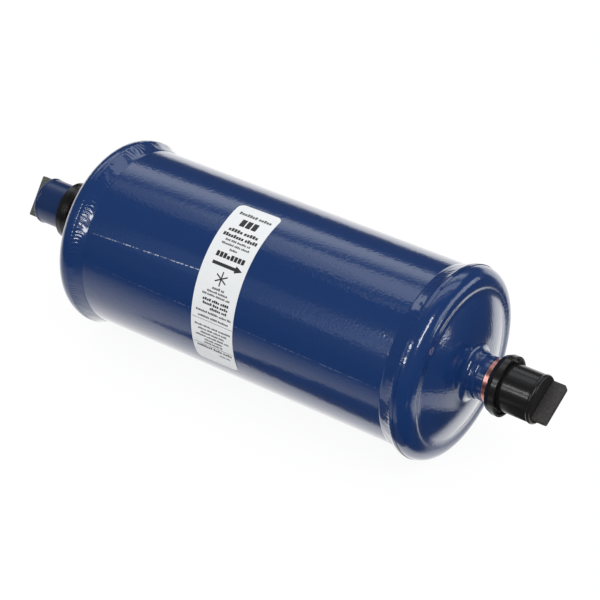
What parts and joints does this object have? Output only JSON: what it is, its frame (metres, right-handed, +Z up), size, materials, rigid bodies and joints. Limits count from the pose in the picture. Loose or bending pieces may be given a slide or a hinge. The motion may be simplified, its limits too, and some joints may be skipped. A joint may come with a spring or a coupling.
{
  "type": "filter drier",
  "caption": "Sealed steel refrigerant filter drier with a spring-packed desiccant bed, copper solder fittings and pull-off shipping caps.",
  "frame": {"origin": "centre of the can, on its axis halfway along the shell tube", "axes": "+X along the can in the way of the flow, from the inlet to the outlet; +Z up"},
  "size_m": [0.2592, 0.0812, 0.0812],
  "materials": {
    "can_paint": "glossy enamel with slight orange peel",
    "weld_paint": "glossy enamel over a rippled weld",
    "fitting_copper": "bright drawn copper, painted over at the root",
    "cap_plastic": "glossy barrel and matte grip",
    "label_film": "satin printed film",
    "spring_steel": "drawn wire",
    "plate_steel": "plain pressed sheet",
    "screen_wire": "fine woven wire cloth",
    "pad_felt": "pressed felt",
    "desiccant": "packed matte beads"
  },
  "bodies": {
    "can": {"shell_tube": "can_paint", "inlet_end_cup": "can_paint", "outlet_end_cup": "can_paint", "inlet_seam_weld": "weld_paint", "outlet_seam_weld": "weld_paint", "inlet_braze_ring": "can_paint", "outlet_braze_ring": "can_paint", "inlet_fitting": "fitting_copper", "outlet_fitting": "fitting_copper", "flow_label": "label_film", "bed_spring": "spring_steel", "spring_plate": "plate_steel", "outlet_plate": "plate_steel", "outlet_spacer": "plate_steel", "outlet_screen": "screen_wire", "inlet_filter_pad": "pad_felt", "outlet_filter_pad": "pad_felt", "desiccant_bed": "desiccant"},
    "inlet_cap": {"inlet_cap": "cap_plastic"},
    "outlet_cap": {"outlet_cap": "cap_plastic"}
  },
  "joints": [
    {"name": "inlet_cap_pull", "type": "slide", "parent": "can", "child": "inlet_cap", "axis": [-1, 0, 0], "range_m": [0, 0.06]},
    {"name": "outlet_cap_pull", "type": "slide", "parent": "can", "child": "outlet_cap", "axis": [1, 0, 0], "range_m": [0, 0.06]}
  ]
}
